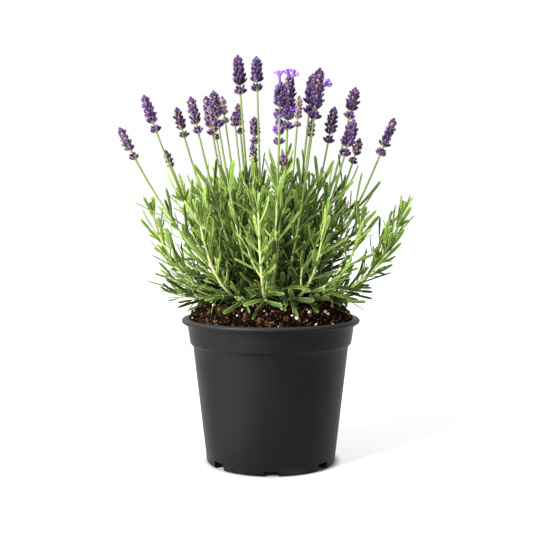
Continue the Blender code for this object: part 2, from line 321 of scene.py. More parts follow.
def inner_radius(height):
    """The radius of the pot's inner wall at a height above its floor."""
    heights = (0, wall_top, collar_foot, POT_HEIGHT)
    radii = (BASE_RADIUS, WALL_TOP_RADIUS, COLLAR_FOOT_RADIUS, COLLAR_TOP_RADIUS)
    return float(np.interp(height, heights, radii)) - WALL


def pot_outline():
    rim = (RIM_RADIUS - RIM_ROLL, POT_HEIGHT - RIM_ROLL)
    under_lip = POT_HEIGHT - 2 * RIM_ROLL
    base = (BASE_RADIUS - EDGE_ROUND, EDGE_ROUND)
    step = (WALL_TOP_RADIUS, wall_top)
    outer = [
        *arc(rim, RIM_ROLL, 90, -90, 10),
        (COLLAR_TOP_RADIUS + 0.4 * MM, under_lip + 0.1 * MM),
        (COLLAR_TOP_RADIUS, under_lip - 0.5 * MM),
        (COLLAR_FOOT_RADIUS, collar_foot + 0.4 * MM),
        (COLLAR_FOOT_RADIUS - 0.3 * MM, collar_foot - 0.5 * MM),
        (COLLAR_FOOT_RADIUS - 1.1 * MM, collar_foot - 1.3 * MM),
        (step[0] + 0.5 * MM, step[1] + 0.3 * MM),
        (step[0], step[1] - 0.4 * MM),
        *arc(base, EDGE_ROUND, 8, -90, 6),
    ]
    inner = [
        (inner_radius(POT_HEIGHT) + 0.6 * MM, POT_HEIGHT - 0.2 * MM),
        (inner_radius(POT_HEIGHT), POT_HEIGHT - 1.0 * MM),
        (inner_radius(collar_foot), collar_foot),
        (inner_radius(wall_top), wall_top),
        (inner_radius(FLOOR_TOP), FLOOR_TOP + EDGE_ROUND),
        (inner_radius(FLOOR_TOP) - EDGE_ROUND, FLOOR_TOP),
        (0.0, FLOOR_TOP),
    ]
    underside = [
        (0.0, BASE_RECESS),
        (FOOT_RING_INNER - BASE_RECESS, BASE_RECESS),
        (FOOT_RING_INNER, 0.0),
    ]
    return underside + outer[::-1] + inner


# %% Pot finish
def pot_finish():
    """Charcoal plastic: a fine moulded grain, faint drag marks, and a greyer rim top, partly
    worn and partly a painted highlight.
    """
    finish = Finish("pot_plastic")
    place = finish.place()
    _, _, height = finish.axes(place)
    drag = finish.noise(90, 4, finish.squeezed(place, 0.16))
    cloud = finish.noise(22, 4, place)
    grain = finish.noise(2200, 2, place)
    specks = finish.noise(420, 2, place).between(0.66, 0.74)
    colour = finish.ramp(
        cloud * 0.6 + drag * 0.4,
        [(0.30, (0.0020, 0.0020, 0.0022)), (0.70, (0.0038, 0.0038, 0.0043))],
    )
    # The top of the rim is drawn a lighter grey: partly wear, partly a painted highlight.
    rim = height.between(POT_HEIGHT - 3.2 * MM, POT_HEIGHT - 0.4 * MM)
    colour = finish.mix(rim * (0.30 + cloud * 0.4), colour, (0.045, 0.045, 0.046))
    dust = height.between(10 * MM, 0.0) * cloud.between(0.42, 0.62) * 0.4 + specks * 0.10
    colour = finish.mix(dust, colour, (0.045, 0.041, 0.035))
    rough = 0.34 + cloud * 0.12 + drag * 0.08 + specks * 0.2
    normal = finish.bump(grain * 0.6 + drag * 0.4, 0.20, 0.15 * MM)
    finish.surface(Base_Color=colour, Roughness=rough, Normal=normal)
    finish.surface(Specular_IOR_Level=0.10)
    return finish


# %% Build the pot
def cut_notches(pot):
    """Cuts the drain notches with rounded blocks and keeps only the result."""
    bm = bmesh.new()
    for i in range(NOTCH_COUNT):
        angle = -math.pi / 2 + math.tau * i / NOTCH_COUNT
        block = bmesh.ops.create_cube(bm, size=1.0)["verts"]
        height = NOTCH_HEIGHT if i else FRONT_NOTCH_HEIGHT
        bmesh.ops.scale(bm, vec=(*NOTCH_SIZE, 2 * height), verts=block)
        bmesh.ops.translate(bm, vec=(BASE_RADIUS, 0, 0), verts=block)
        bmesh.ops.rotate(bm, matrix=Matrix.Rotation(angle, 3, "Z"), verts=block)
    upper = [
        edge
        for edge in bm.edges
        if all(vert.co.z > 0 for vert in edge.verts)
        or abs(edge.verts[0].co.z - edge.verts[1].co.z) > MM
    ]
    bmesh.ops.bevel(
        bm, geom=upper, offset=NOTCH_ROUND, segments=3, affect="EDGES", profile=0.5, material=-1
    )
    blocks = link_object("notch_blocks", mesh_from("notch_blocks", bm))
    cut = pot.modifiers.new("notches", "BOOLEAN")
    cut.operation = "DIFFERENCE"
    cut.object = blocks
    graph = bpy.context.evaluated_depsgraph_get()
    cut_mesh = bpy.data.meshes.new_from_object(pot.evaluated_get(graph))
    pot.modifiers.clear()
    pot.data = cut_mesh
    bpy.data.objects.remove(blocks)


pot_plastic = pot_finish()
pot = add_piece(
    "nursery_pot", turned(split_runs(pot_outline(), 12 * MM), POT_SEGMENTS),
    [pot_plastic], ["pot"],
)
cut_notches(pot)
print("pot faces", len(pot.data.polygons))

# %% [markdown]
# ## Soil
#
# Potting mix is dark peat and composted bark with white perlite in it. One smooth heap would
# look like felt, so the heap gets a rough surface first, and then thousands of loose bits are
# pressed into it: crumbs, flat bark chips, thin fibres and pale grains.

# %% Soil heap
GAP = 0.3 * MM
SOIL_EDGE_DROP = 2.5 * MM
SOIL_HEAP = 19.5 * MM
HEAP_POWER = 9
SOIL_SEGMENTS = 180
soil_edge = inner_radius(POT_HEIGHT) - GAP


def soil_height(radius):
    """The height of the heaped soil at a distance from the middle."""
    part = min(radius / soil_edge, 1.0)
    return POT_HEIGHT - SOIL_EDGE_DROP + SOIL_HEAP * (1 - part**HEAP_POWER)


def soil_finish():
    finish = Finish("potting_mix")
    place = finish.place()
    lumps = finish.noise(260, 6, place, 0.62)
    grit = finish.noise(1100, 3, place)
    colour = finish.ramp(
        lumps * 0.65 + grit * 0.35,
        [
            (0.34, (0.0007, 0.0004, 0.0003)),
            (0.50, (0.0024, 0.0013, 0.0009)),
            (0.64, (0.0100, 0.0052, 0.0030)),
            (0.78, (0.0400, 0.0210, 0.0115)),
        ],
    )
    normal = finish.bump(lumps * 0.6 + grit * 0.4, 0.9, 0.9 * MM)
    finish.surface(Base_Color=colour, Roughness=0.9, Normal=normal, Specular_IOR_Level=0.03)
    return finish


def soil_outline():
    edge_height = POT_HEIGHT - SOIL_EDGE_DROP
    top = [(soil_edge * i / 64, soil_height(soil_edge * i / 64)) for i in range(63, -1, -1)]
    return [
        (0.0, FLOOR_TOP + GAP),
        (inner_radius(FLOOR_TOP) - EDGE_ROUND - GAP, FLOOR_TOP + GAP),
        (inner_radius(FLOOR_TOP) - GAP, FLOOR_TOP + EDGE_ROUND + GAP),
        (inner_radius(wall_top) - GAP, wall_top),
        (inner_radius(collar_foot) - GAP, collar_foot),
        (inner_radius(edge_height) - GAP, edge_height),
        *top,
    ]


def roughen_soil(bm):
    """Pushes the heap's top up and down in lumps, and leaves its edge at the pot alone."""
    for vert in bm.verts:
        radius = math.hypot(vert.co.x, vert.co.y)
        if vert.co.z < POT_HEIGHT - SOIL_EDGE_DROP - MM or radius > soil_edge - 0.8 * MM:
            continue
        fade = min(1.0, (soil_edge - radius) / (6 * MM))
        lump = noise.fractal(vert.co * 170, 0.9, 2.1, 4)
        vert.co.z += (lump * 1.5 * MM - 0.4 * MM) * fade


potting_mix = soil_finish()
soil_bm = turned(soil_outline(), SOIL_SEGMENTS)
roughen_soil(soil_bm)
soil = add_piece(
    "potting_mix", soil_bm, [potting_mix], ["potting_soil"], 180
)
print("soil faces", len(soil.data.polygons))

# %% [markdown]
# ## Attributes for small repeated bits
#
# Chips, leaves and buds are copied hundreds of times into one mesh, yet each should have its
# own tone. A colour attribute called `growth` carries that on every vertex: red is the bit's
# own random tone, green runs along it, and blue runs from its middle to its edge. One
# material can then draw every leaf, with its own tone and its own midrib.

# %% Small parts that are copied many times
class Sprig:
    """A small closed shape made once, and laid into a piece's bmesh many times."""

    def __init__(self, bm, material_index=0):
        bmesh.ops.recalc_face_normals(bm, faces=bm.faces[:])
        for face in bm.faces:
            face.material_index = material_index
            face.smooth = True
        self.points = np.array([vert.co for vert in bm.verts])
        self.count = len(bm.verts)
        self.mesh = mesh_from("sprig", bm)

    def lay(self, bm, places, tone):
        """Adds a copy whose vertices go to the given places, with its own tone."""
        bm.from_mesh(self.mesh)
        bm.verts.ensure_lookup_table()
        layer = bm.verts.layers.float_color["growth"]
        for vert, place in zip(bm.verts[-self.count :], places):
            vert.co = place
            vert[layer][0] = tone


def growth_bmesh():
    """An empty bmesh with the growth attribute, ready for a sprig's shape or for its copies."""
    bm = bmesh.new()
    bm.verts.layers.float_color.new("growth")
    return bm


def extruded(bm, face):
    """Extrudes one face, and returns the new face at its end."""
    return bmesh.ops.extrude_discrete_faces(bm, faces=[face])["faces"][0]


def rod_rings(bm, sides, stations):
    """Draws a rod out of a circle. It gives each station with its ring's face, foot first."""
    made = bmesh.ops.create_circle(bm, cap_ends=True, radius=1.0, segments=sides)
    cap = made["verts"][0].link_faces[0]
    for i, station in enumerate(stations):
        if i:
            cap = extruded(bm, cap)
        yield station, cap


def growth_wires(finish):
    """The tone, the way along and the way across of the shape that a point lies on."""
    colour = finish.node("ShaderNodeAttribute", {"attribute_name": "growth"}, out="Color")
    return finish.node("ShaderNodeSeparateColor", {}, {0: colour}, out=("Red", "Green", "Blue"))


# %% Loose bits of soil
CRUMB_COUNT = 7600
CHIP_COUNT = 1250
FIBRE_COUNT = 220
PERLITE_COUNT = 110


def lump_sprig(subdivisions, flatness, raggedness, seed):
    """A stone-like lump: an icosphere pushed out of round, then flattened."""
    bm = growth_bmesh()
    bmesh.ops.create_icosphere(bm, subdivisions=subdivisions, radius=0.5)
    offset = Vector((seed * 3.7, seed * 1.3, seed))
    for vert in bm.verts:
        vert.co *= 1 + raggedness * noise.noise(vert.co * 2.2 + offset)
    bmesh.ops.scale(bm, vec=(1, 0.75, flatness), verts=bm.verts[:])
    return Sprig(bm)


def chip_sprig(seed):
    """A flat bark chip: a cube cut twice across, skewed, with chipped corners."""
    bm = growth_bmesh()
    bmesh.ops.create_cube(bm, size=1.0)
    bmesh.ops.subdivide_edges(bm, edges=bm.edges[:], cuts=1)
    offset = Vector((seed * 5.1, seed * 2.9, seed * 1.7))
    for vert in bm.verts:
        vert.co += noise.noise_vector(vert.co * 1.7 + offset) * 0.38
    bmesh.ops.scale(bm, vec=(1.0, 0.5, 0.22), verts=bm.verts[:])
    return Sprig(bm)


def heap_slope(radius):
    """How steeply the heap falls at a distance from the middle."""
    part = radius / soil_edge
    return SOIL_HEAP * HEAP_POWER * part ** (HEAP_POWER - 1) / soil_edge


def scatter(sprigs, count, sizes, sink, tilt, stretch, reach):
    """Lays bits over the heap at random, more of them on its steep edge."""
    bm = growth_bmesh()
    farthest = (soil_edge - 0.9 * MM) * reach
    for i in range(count):
        radius = farthest * math.sqrt(rng.random())
        if i % 2:
            radius = farthest * (1 - 0.20 * rng.random() ** 1.5)
        angle = rng.uniform(0, math.tau)
        size = sizes[0] + (sizes[1] - sizes[0]) * rng.random() ** 2
        size = min(size, 2 * (soil_edge - radius) + 1.2 * MM)
        out = Vector((math.cos(angle), math.sin(angle), 0))
        normal = (out * heap_slope(radius) + Vector((0, 0, 1))).normalized()
        spot = out * radius + Vector((0, 0, soil_height(radius)))
        spot += normal * size * (0.3 - sink)
        face_up = Vector((0, 0, 1)).rotation_difference(normal).to_matrix()
        turn = Matrix.Rotation(rng.uniform(0, math.tau), 3, "Z")
        lean = Matrix.Rotation(rng.uniform(-tilt, tilt), 3, "X")
        roll = Matrix.Rotation(rng.uniform(-tilt, tilt), 3, "Y")
        scale = Matrix.Diagonal([part * size for part in stretch])
        placed = np.array(face_up @ turn @ lean @ roll @ scale)
        sprig = rng.choice(sprigs)
        sprig.lay(bm, sprig.points @ placed.T + np.array(spot), rng.random())
    return bm


def bits_finish(name, stops, scale, roughness, depth):
    finish = Finish(name)
    tone, _, _ = growth_wires(finish)
    streak = finish.noise(scale, 4)
    colour = finish.ramp(tone * 0.7 + streak * 0.5 - 0.1, stops)
    normal = finish.bump(streak, 0.8, depth)
    finish.surface(Base_Color=colour, Roughness=roughness, Normal=normal)
    finish.surface(Specular_IOR_Level=0.03)
    return finish


crumb_mix = bits_finish(
    "peat_crumbs",
    [
        (0.15, (0.0006, 0.0004, 0.0003)),
        (0.58, (0.0028, 0.0015, 0.0009)),
        (0.80, (0.034, 0.0165, 0.0082)),
        (0.97, (0.170, 0.094, 0.052)),
    ],
    900, 0.92, 0.3 * MM,
)
bark_mix = bits_finish(
    "bark_chips",
    [
        (0.10, (0.0026, 0.0014, 0.0009)),
        (0.55, (0.0110, 0.0052, 0.0027)),
        (0.82, (0.080, 0.038, 0.018)),
        (1.00, (0.270, 0.158, 0.088)),
    ],
    700, 0.8, 0.3 * MM,
)
perlite_mix = bits_finish(
    "perlite_grains",
    [(0.0, (0.234, 0.166, 0.112)), (0.4, (0.414, 0.333, 0.252)), (1.0, (0.594, 0.522, 0.432))],
    1200, 0.85, 0.25 * MM,
)
PLAIN = (1, 1, 1)
THIN = (1, 0.16, 0.3)
lumps = [lump_sprig(1, 0.8, 0.9, seed) for seed in range(4)]
chips = [chip_sprig(seed) for seed in range(8)]
stones = [lump_sprig(2, 0.85, 0.6, seed) for seed in range(3)]
# Name, shapes, number, smallest and largest in mm, how deep, tilt, stretch, reach, finish,
# and the angle above which an edge is drawn sharp.
SOIL_BITS = (
    ("peat_crumbs", lumps, CRUMB_COUNT, 0.9, 2.8, 0.05, 1.2, PLAIN, 1.0, crumb_mix, 25),
    ("bark_chips", chips[:5], CHIP_COUNT, 1.8, 5.2, 0.15, 0.9, PLAIN, 1.0, bark_mix, 20),
    ("bark_fibres", chips[5:], FIBRE_COUNT, 5, 11, 0.24, 0.35, THIN, 0.9, bark_mix, 20),
    ("perlite_grains", stones, PERLITE_COUNT, 1.2, 4.2, 0.1, 1.5, PLAIN, 1.0, perlite_mix, 60),
)
for name, sprigs, count, low, high, sink, tilt, stretch, reach, finish, angle in SOIL_BITS:
    bits = scatter(sprigs, count, (low * MM, high * MM), sink, tilt, stretch, reach)
    add_piece(name, bits, [finish], smooth_angle=angle)
print("bits of soil", CRUMB_COUNT + CHIP_COUNT + FIBRE_COUNT + PERLITE_COUNT)

# %% [markdown]
# ## Where the shoots grow
#
# Every shoot follows a curve in an upright plane: out of the soil on a ring round the crown,
# then up to its tip. The frame's solids follow the same rule, so the curve only needs the
# tip. A flower head's tip is the point of its solid farthest from the crown. A leafy shoot
# has no such point, but its square end has two diagonals that cross, which no leaf has.

# %% The line of a shoot
CROWN_RING = 11 * MM
FOOT_LIFT = 1.6 * MM
FLOWERING_LINE = (0.13, 0.64, 0.32)
LEAFY_LINE = (0.27, 0.85, 0.12)
STEM_TOP_WIDTH = 1.5 * MM


class GrowthLine:
    """A smooth curve through three pull points, measured by its length."""

    def __init__(self, foot, middle, tip):
        part = np.linspace(0, 1, 61)[:, None]
        foot, middle, tip = (np.array(point) for point in (foot, middle, tip))
        self.points = (1 - part) ** 2 * foot + 2 * part * (1 - part) * middle + part**2 * tip
        steps = np.linalg.norm(np.diff(self.points, axis=0), axis=1)
        self.lengths = np.concatenate([[0], np.cumsum(steps)])
        self.length = float(self.lengths[-1])
        bend = Vector(middle - foot).cross(Vector(tip - middle))
        flat = bend.length < 1e-12
        self.sideways = Vector(tip - foot).orthogonal() if flat else bend
        self.sideways.normalize()

    def point(self, along):
        return Vector([np.interp(along, self.lengths, axis) for axis in self.points.T])

    def aim(self, along):
        start = self.point(max(along - 2 * MM, 0.0))
        return (self.point(min(along + 2 * MM, self.length)) - start).normalized()

    def axes(self, along, roll):
        """The stem's direction and its two side directions, turned by a roll."""
        aim = self.aim(along)
        first = Matrix.Rotation(roll, 3, aim) @ self.sideways
        return aim, first, aim.cross(first)

    def around(self, along, angle):
        """The stem's direction, and the direction out of it at an angle round it."""
        aim, first, second = self.axes(along, 0)
        return aim, first * math.cos(angle) + second * math.sin(angle)

    def at_height(self, height):
        return float(np.interp(height, self.points[:, 2], self.lengths))


def shoot_line(tip, line):
    """The line that a shoot takes to its tip, from the same rule as the frame's solids."""
    foot_spread, pull_out, pull_up = line
    out = Vector((tip.x, tip.y, 0))
    reach = out.length
    out.normalize()
    foot = out * (CROWN_RING + foot_spread * reach)
    foot.z = soil_height(foot.length) + FOOT_LIFT
    middle = out * reach * pull_out
    middle.z = foot.z + pull_up * (tip.z - foot.z)
    return GrowthLine(foot, middle, tip)


# %% Read the tips from the frame
def corners_of(node):
    """The different corners of a frame node's solid."""
    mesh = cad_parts[node].data
    points = np.array([vert.co for vert in mesh.vertices])
    return np.unique(np.round(points, 6), axis=0)


def head_ends(node):
    """The foot and the tip of a flower head's solid."""
    points = corners_of(node)
    away = np.linalg.norm(points - np.array((0, 0, POT_HEIGHT)), axis=1)
    tip = points[away.argmax()]
    farthest = np.linalg.norm(points - tip, axis=1)
    foot_ring = points[np.argsort(farthest)[-6:]]
    return Vector(foot_ring.mean(axis=0)), Vector(tip)


def square_end(node):
    """The middle of a leafy shoot's square end, where two diagonals cross."""
    points = corners_of(node)
    gaps = np.linalg.norm(points[:, None] - points[None], axis=2)
    diagonal = STEM_TOP_WIDTH * math.sqrt(2)
    first, second = np.nonzero(np.triu(abs(gaps - diagonal) < 0.03 * MM))
    middles = (points[first] + points[second]) / 2
    shared = np.linalg.norm(middles[:, None] - middles[None], axis=2) < 0.02 * MM
    crossed = middles[shared.sum(axis=1) > 1]
    away = np.linalg.norm(crossed - np.array((0, 0, POT_HEIGHT)), axis=1)
    return Vector(crossed[away.argmax()])


flowering_nodes = sorted(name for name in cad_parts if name.startswith("flowering"))
head_nodes = sorted(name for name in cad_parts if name.startswith("flower_head"))
leafy_nodes = sorted(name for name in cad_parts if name.startswith("leafy"))
head_feet = {}
flower_lines = {}
for shoot_node, head_node in zip(flowering_nodes, head_nodes):
    head_foot, head_tip = head_ends(head_node)
    flower_lines[shoot_node] = shoot_line(head_tip, FLOWERING_LINE)
    head_feet[shoot_node] = head_foot
leafy_lines = {node: shoot_line(square_end(node), LEAFY_LINE) for node in leafy_nodes}
print("shoots with flowers", len(flower_lines), "leafy shoots", len(leafy_lines))

# %% [markdown]
# ## One leaf
#
# A lavender leaf is a narrow blade, widest past its middle, with a rounded tip. Its edges
# roll under and its midrib is a groove, so its section is a flat wedge with a dip in it. The
# section starts as a circle of six corners, which is extruded from foot to tip.

# %% Leaf shape
LEAF_SECTION = ((-1, 0.05), (-0.5, 0.42), (0, 0.02), (0.5, 0.42), (1, 0.05), (0, -0.40))
LEAF_OUTLINE = (
    (0.00, 0.38),
    (0.14, 0.62),
    (0.40, 0.88),
    (0.70, 1.00),
    (0.91, 0.90),
    (0.98, 0.58),
    (1.00, 0.22),
)
LEAF_THICKNESS = 0.36


def leaf_sprig(material_index=0):
    """A unit leaf: 1 long in X, 1 wide in Y, with its groove side up."""
    bm = growth_bmesh()
    layer = bm.verts.layers.float_color["growth"]
    rings = []
    for (along, width), cap in rod_rings(bm, len(LEAF_SECTION), LEAF_OUTLINE):
        rings.append(cap.verts[:])
        thin = LEAF_THICKNESS * (0.45 + 0.55 * width)
        for vert, (side, level) in zip(cap.verts, LEAF_SECTION):
            vert.co = (along, 0.5 * side * width, level * thin)
            vert[layer] = (0, along, abs(side), 1)
    bm.faces.new(rings[0])
    return Sprig(bm, material_index)


leaf = leaf_sprig()


def lay_leaf(bm, base, aim, inward, length, width, curl, tone, blade=leaf):
    """Adds a leaf that starts along aim and curls towards inward by an angle in all."""
    across = aim.cross(inward)
    along = blade.points[:, 0:1]
    angle = curl * along
    safe = curl if abs(curl) > 1e-3 else 1e-3
    forward = np.sin(angle) / safe if abs(curl) > 1e-3 else along
    rise = (1 - np.cos(angle)) / safe
    aim, inward, across = (np.array(axis) for axis in (aim, inward, across))
    middle = np.array(base) + length * (forward * aim + rise * inward)
    normal = np.cos(angle) * inward - np.sin(angle) * aim
    places = middle + blade.points[:, 1:2] * width * across
    places += blade.points[:, 2:3] * width * normal
    blade.lay(bm, places, tone)


print("leaf faces", len(leaf.mesh.polygons))

# %% [markdown]
# ## Stems and leaf pairs
#
# Lavender has square stems, and its leaves stand in opposite pairs, each pair a quarter turn
# from the one below. A short side shoot grows from the corner of many leaves, which makes the
# plant so dense. Stems are drawn out ring by ring with extrude, so their corners stay rounded
# and their width can change.

# %% Draw a stem
STEM_CORNER = 0.80
STEM_MATERIAL = 1


def draw_stem(bm, line, start, end, widths, roll, sides=8, rings=None):
    """Extrudes a rounded-square stem along a line. It thins from one width to the other."""
    layer = bm.verts.layers.float_color["growth"]
    rings = rings or max(3, int((end - start) / (7 * MM)))
    tone = rng.random()
    drawn = []
    for i, cap in rod_rings(bm, sides, range(rings + 1)):
        drawn.append(cap.verts[:])
        part = i / rings
        along = start + (end - start) * part
        _, first, second = line.axes(max(along, 0), roll)
        centre = line.point(max(along, 0)) + line.aim(0) * min(along, 0)
        radius = 0.5 * (widths[0] + (widths[1] - widths[0]) * part)
        for corner, vert in enumerate(cap.verts):
            angle = math.tau * (corner + 0.5) / sides
            square = max(abs(math.cos(angle)), abs(math.sin(angle)))
            reach = radius * (1 + (1 / square - 1) * STEM_CORNER)
            vert.co = centre + (first * math.cos(angle) + second * math.sin(angle)) * reach
            vert[layer] = (tone, part, 0.0, 1.0)
    bm.faces.new(drawn[0])
    for face in {face for ring in drawn for vert in ring for face in vert.link_faces}:
        face.material_index = STEM_MATERIAL
        face.smooth = True


# %% Leaf pairs
GROUND_CLEARANCE = 1.2 * MM
SPREAD_HEIGHTS = (0.145, 0.160, 0.187, 0.210, 0.236)
SPREAD_RADII = (0.088, 0.104, 0.117, 0.125, 0.137)


def has_room(base, aim, length, margin=0.0):
    """Whether a leaf stays above the soil and the rim, and inside the plant's outline."""
    for part in (0.6, 1.0):
        point = base + aim * length * part
        radius = math.hypot(point.x, point.y)
        ground = soil_height(radius) if radius < soil_edge - 3 * MM else POT_HEIGHT + MM
        widest = float(np.interp(point.z, SPREAD_HEIGHTS, SPREAD_RADII)) - margin
        if point.z < ground + GROUND_CLEARANCE or radius > widest:
            return False
    return True


def lay_pair(bm, line, along, roll, length, angle, width, tone, curl):
    """Two opposite leaves. One that would dig into the soil is raised, or left out."""
    stem, first, _ = line.axes(along, roll)
    for side in (1, -1):
        out = first * side
        own_length = length * rng.uniform(0.84, 1.12)
        own_width = width * rng.uniform(0.88, 1.12)
        lean = angle * rng.uniform(0.82, 1.18)
        base = line.point(along) + out * 0.4 * MM
        for raised in (1.0, 0.75, 0.5, 0.3):
            aim = out * math.sin(lean * raised) + stem * math.cos(lean * raised)
            if has_room(base, aim, own_length):
                inward = stem * math.sin(lean * raised) - out * math.cos(lean * raised)
                inward = Matrix.Rotation(rng.uniform(-0.95, 0.95), 3, aim) @ inward
                own_curl = curl + rng.uniform(-0.3, 0.3)
                own_tone = min(max(tone + rng.uniform(-0.3, 0.3), 0), 1)
                lay_leaf(bm, base, aim, inward, own_length, own_width, own_curl, own_tone)
                break


# %% Side shoots
TWIG_WIDTHS = (1.8 * MM, 1.1 * MM)
TUFT_WIDTHS = (1.2 * MM, 0.8 * MM)


def lay_tuft(bm, line, along, roll, side, tone):
    """Young leaves, packed close, in the corner between a leaf and the stem."""
    stem, first, _ = line.axes(along, roll)
    aim = (first * side * rng.uniform(0.45, 0.8) + stem).normalized()
    base = line.point(along) + first * side * 0.8 * MM
    tip = base + aim * rng.uniform(5, 9) * MM
    if tip.z < POT_HEIGHT + 14 * MM:
        return 0
    twig = GrowthLine(base, (base + tip) / 2, tip)
    turn = rng.uniform(0, math.pi)
    draw_stem(bm, twig, 0, twig.length, TUFT_WIDTHS, turn, sides=6, rings=2)
    for i, (part, length) in enumerate(((0.45, 15), (0.95, 10))):
        size = length * rng.uniform(0.8, 1.15) * MM
        at = twig.length * part
        lay_pair(bm, twig, at, turn + i * math.pi / 2, size, 0.42 - 0.2 * i, 2.5 * MM, tone, 0.1)
    return 4


def lay_side_shoot(bm, line, along, roll, side, length, tone):
    """A leafy twig that leaves the stem at an angle, and then bends up beside it."""
    stem, first, _ = line.axes(along, roll)
    lean = rng.uniform(0.55, 0.85)
    start_aim = first * side * math.sin(lean) + stem * math.cos(lean)
    end_aim = (stem * 0.8 + start_aim * 0.35 + Vector((0, 0, 0.35))).normalized()
    base = line.point(along)
    middle = base + start_aim * length * 0.5
    tip = middle + end_aim * length * 0.5
    if not has_room(base, (tip - base).normalized(), (tip - base).length, 12 * MM):
        return 0
    twig = GrowthLine(base, middle, tip)
    turn = rng.uniform(0, math.pi)
    draw_stem(bm, twig, 0, twig.length, TWIG_WIDTHS, turn, sides=6, rings=5)
    pairs = max(3, round(length / (9.5 * MM)))
    for i in range(pairs):
        part = (i + 0.8) / pairs
        size = (18 + 9 * math.sin(math.pi * min(part, 0.9))) * MM
        spread = 0.80 - 0.50 * part
        at = twig.length * min(part, 0.985)
        own = tone + 0.15 * part
        lay_pair(bm, twig, at, turn + i * math.pi / 2, size, spread, 2.9 * MM, own, 0.15)
    return pairs * 2


# %% [markdown]
# ## Green finishes
#
# Leaves are downy and grey-green with a paler edge and midrib. Young ones near the tips are
# yellower. Stems are a brighter yellow-green, woody at the foot and duller on the bare stalks.
# Little light reaches the inside of a dense plant, so everything low and near the middle is
# drawn darker, as painted shade, and leaves far from the middle are drawn lighter, as painted
# light. A trace of sheen gives the down, and subsurface light makes a thin blade glow.

# %% Leaf and stem finishes
def plant_wires(finish):
    """The height of a point, and the square of its distance from the plant's middle."""
    x, y, height = finish.axes(finish.place())
    return height, x * x + y * y


def leaf_finish():
    finish = Finish("lavender_leaf")
    tone, along, across = growth_wires(finish)
    height, spread = plant_wires(finish)
    mottle = finish.noise(240, 3)
    # Painted light: leaves far from the plant's middle are drawn lighter, as if more light
    # reached them.
    outer_painted_light = spread.between(0.040**2, 0.095**2)
    higher = height.between(0.17, 0.27)
    # The leaf's own random tone, its height and the mottle set its youth; the distance from the
    # middle adds painted light.
    youth_and_outer_light = tone * 0.62 + higher * 0.10 + outer_painted_light * 0.12 + mottle * 0.2 - 0.24
    colour = finish.ramp(
        youth_and_outer_light,
        [
            (0.02, (0.011, 0.028, 0.0018)),
            (0.30, (0.072, 0.136, 0.0120)),
            (0.60, (0.172, 0.264, 0.0450)),
            (1.00, (0.330, 0.415, 0.1350)),
        ],
    )
    inside = 1 - spread.between(0.032**2, 0.080**2)
    inside = inside + (1 - inside) * height.between(0.185, 0.150) * 0.30
    shaded = inside * height.between(0.240, 0.166)
    colour = finish.mix(shaded * 0.86, colour, (0.0048, 0.0126, 0.0007))
    deepest = inside * height.between(0.172, 0.148)
    colour = finish.mix(deepest * 0.85, colour, (0.0010, 0.0024, 0.0003))
    rib = 1 - across.between(0.0, 0.22)
    margin = across.between(0.50, 0.90)
    colour = finish.mix(rib * 0.22 * (1 - shaded), colour, (0.250, 0.340, 0.090))
    # The pale margin is the leaf's own colour; it is drawn stronger on leaves with painted light
    # and fainter in the painted shade.
    edge = margin * (0.18 + youth_and_outer_light * 0.55) * (1 - shaded * 0.8)
    colour = finish.mix(edge, colour, (0.400, 0.500, 0.165))
    colour = finish.mix(along.between(0.85, 1.0) * 0.25, colour, (0.290, 0.380, 0.100))
    base_shade = (1 - along.between(0.0, 0.25)) * (1 - shaded) * 0.35
    colour = finish.mix(base_shade, colour, (0.260, 0.345, 0.070))
    down = finish.noise(3000, 2)
    normal = finish.bump(down * 0.5 + mottle * 0.5, 0.35, 0.15 * MM)
    finish.surface(Base_Color=colour, Roughness=0.55, Normal=normal)
    finish.surface(Sheen_Weight=0.02, Sheen_Roughness=0.5, Specular_IOR_Level=0.12)
    finish.surface(Subsurface_Weight=0.12, Subsurface_Radius=(0.6, 1.0, 0.25))
    finish.surface(Subsurface_Scale=1.2 * MM)
    return finish


def stem_finish():
    finish = Finish("lavender_stem")
    tone, _, _ = growth_wires(finish)
    height, spread = plant_wires(finish)
    mottle = finish.noise(300, 3)
    colour = finish.ramp(
        tone * 0.5 + mottle * 0.5,
        [
            (0.20, (0.240, 0.330, 0.075)),
            (0.55, (0.320, 0.400, 0.110)),
            (0.90, (0.430, 0.490, 0.190)),
        ],
    )
    stalk = height.between(0.215, 0.275)
    colour = finish.mix(stalk * 0.90, colour, (0.106, 0.150, 0.032))
    woody = height.between(POT_HEIGHT + 42 * MM, POT_HEIGHT + 18 * MM)
    colour = finish.mix(woody * (0.2 + mottle * 0.6), colour, (0.326, 0.294, 0.125))
    shaded = (1 - spread.between(0.020**2, 0.060**2)) * height.between(0.230, 0.170)
    colour = finish.mix(shaded * 0.80, colour, (0.010, 0.016, 0.004))
    normal = finish.bump(finish.noise(1800, 2), 0.3, 0.12 * MM)
    finish.surface(Base_Color=colour, Roughness=0.5, Normal=normal)
    finish.surface(Sheen_Weight=0.04, Specular_IOR_Level=0.22)
    return finish


leaf_green = leaf_finish()
stem_green = stem_finish()
greens = [leaf_green, stem_green]

# %% [markdown]
# ## Shoots
#
# The internodes grow longer up the stem, as on the real plant. The lowest leaves are short
# and spread wide, the middle ones are the longest, and the ones at the top stand close.

# %% Grow a shoot
STEM_WIDTHS = (2.8 * MM, 1.7 * MM)
LOW_WIDTHS = (2.1 * MM, 1.2 * MM)
OUTER_WIDTHS = (2.2 * MM, 1.3 * MM)
BURIED = -7 * MM
# Painted shade: the leaves of shoots that end on the right, away from the main lamp, are drawn
# darker.
RIGHT_SIDE_PAINTED_SHADE = 2.2


